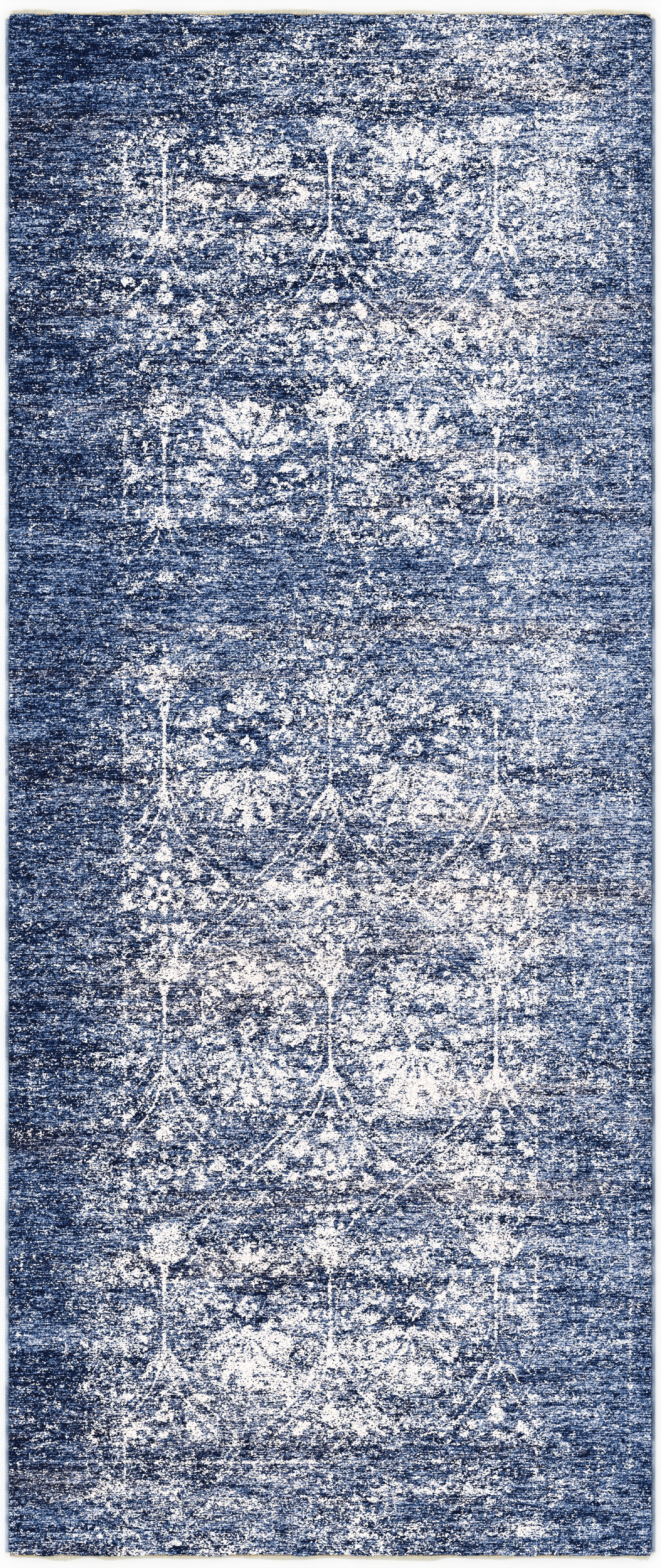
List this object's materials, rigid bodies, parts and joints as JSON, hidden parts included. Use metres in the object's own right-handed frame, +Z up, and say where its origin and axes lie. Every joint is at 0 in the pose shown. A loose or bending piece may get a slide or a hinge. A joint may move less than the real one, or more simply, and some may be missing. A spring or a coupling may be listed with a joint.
{
  "type": "runner rug",
  "caption": "Long narrow loomed rug with a low cut pile, a woven foundation on a coated back, serged long sides and short warp-end fringes.",
  "frame": {"origin": "centre of the rug's underside, on the floor", "axes": "+X across the width to the right, +Y along the length to the far end, +Z up through the pile"},
  "size_m": [0.8, 1.904, 0.01],
  "materials": {
    "blue_pile": "matt cut pile, mottled navy, mid blue and ivory",
    "woven_jute_cotton": "plain woven ground, undyed",
    "latex_back": "thin matt size coat on the weave",
    "undyed_cotton": "undyed spun yarn",
    "serging_yarn": "variegated blue overcast yarn with a soft sheen",
    "stitch_thread": "fine ochre-brown thread"
  },
  "bodies": {
    "root": {"latex_back_coat": "latex_back", "woven_foundation": "woven_jute_cotton", "pile_field": "blue_pile", "left_selvedge_cord": "undyed_cotton", "right_selvedge_cord": "undyed_cotton", "left_serging": "serging_yarn", "right_serging": "serging_yarn", "near_warp_fringe": "undyed_cotton", "far_warp_fringe": "undyed_cotton", "near_lock_stitch": "stitch_thread", "far_lock_stitch": "stitch_thread"}
  },
  "joints": []
}
